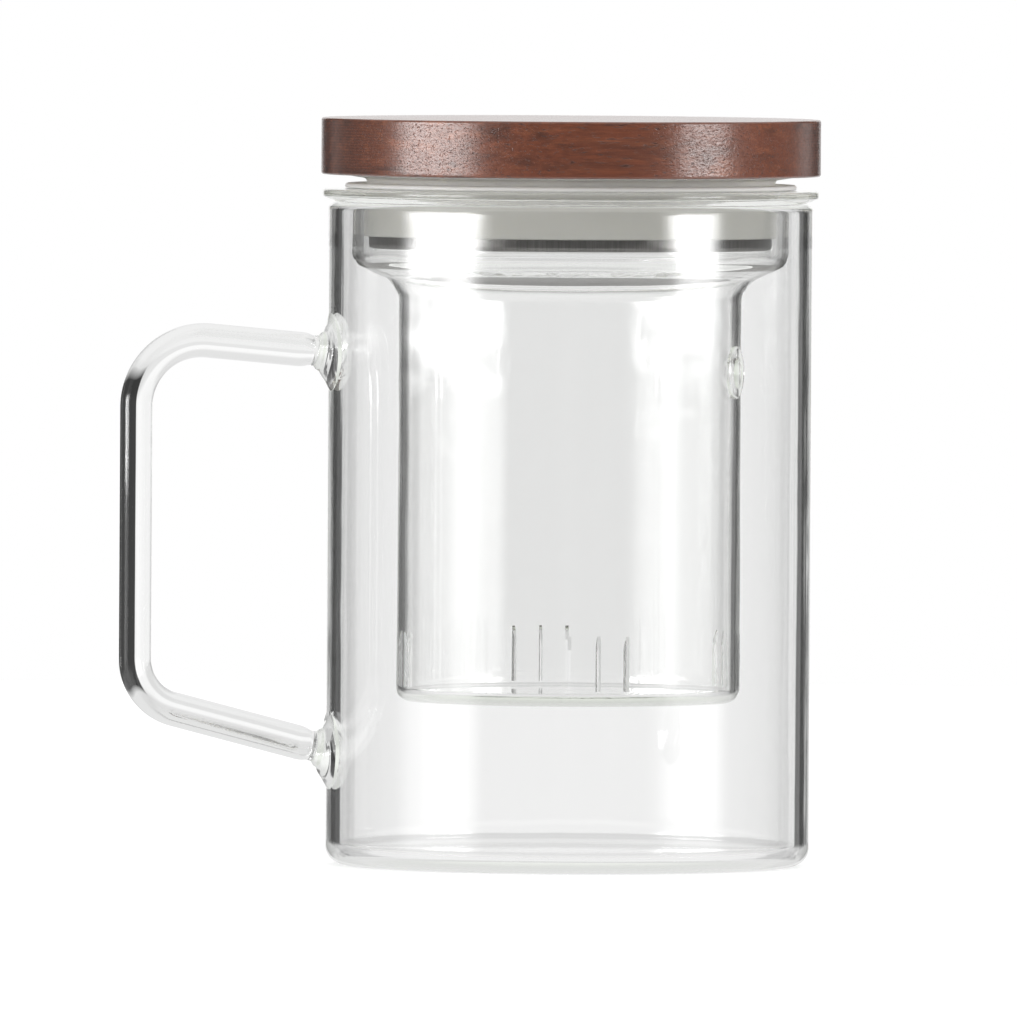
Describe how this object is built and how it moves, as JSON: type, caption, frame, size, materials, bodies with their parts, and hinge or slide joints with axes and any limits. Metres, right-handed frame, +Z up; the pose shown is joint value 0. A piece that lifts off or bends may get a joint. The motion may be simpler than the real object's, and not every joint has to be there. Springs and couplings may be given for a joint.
{
  "type": "lidded tea mug with infuser",
  "caption": "Clear glass tea mug with a bent glass bar handle, a hanging slitted glass infuser and a turned walnut plug lid with steel dish and silicone seal.",
  "frame": {"origin": "centre of the mug's base, on the table", "axes": "+Z up along the mug's axis, handle towards -X, +Y to the back"},
  "size_m": [0.1222, 0.0864, 0.1293],
  "materials": {
    "mug_glass": "clear fire-polished borosilicate",
    "infuser_glass": "clear fire-polished borosilicate",
    "walnut": "oiled and lightly lacquered, semi-gloss",
    "silicone": "translucent white, satin",
    "steel": "finely brushed stainless"
  },
  "bodies": {
    "mug": {"mug_body": "mug_glass", "handle": "mug_glass"},
    "infuser": {"infuser": "infuser_glass"},
    "lid": {"lid_disc": "walnut", "lid_seal": "silicone", "lid_dish": "steel"}
  },
  "joints": [
    {"name": "infuser_lift", "type": "slide", "parent": "mug", "child": "infuser", "axis": [0, 0, 1], "range_m": [0, 0.1]},
    {"name": "lid_lift", "type": "slide", "parent": "infuser", "child": "lid", "axis": [0, 0, 1], "range_m": [0, 0.04]}
  ]
}
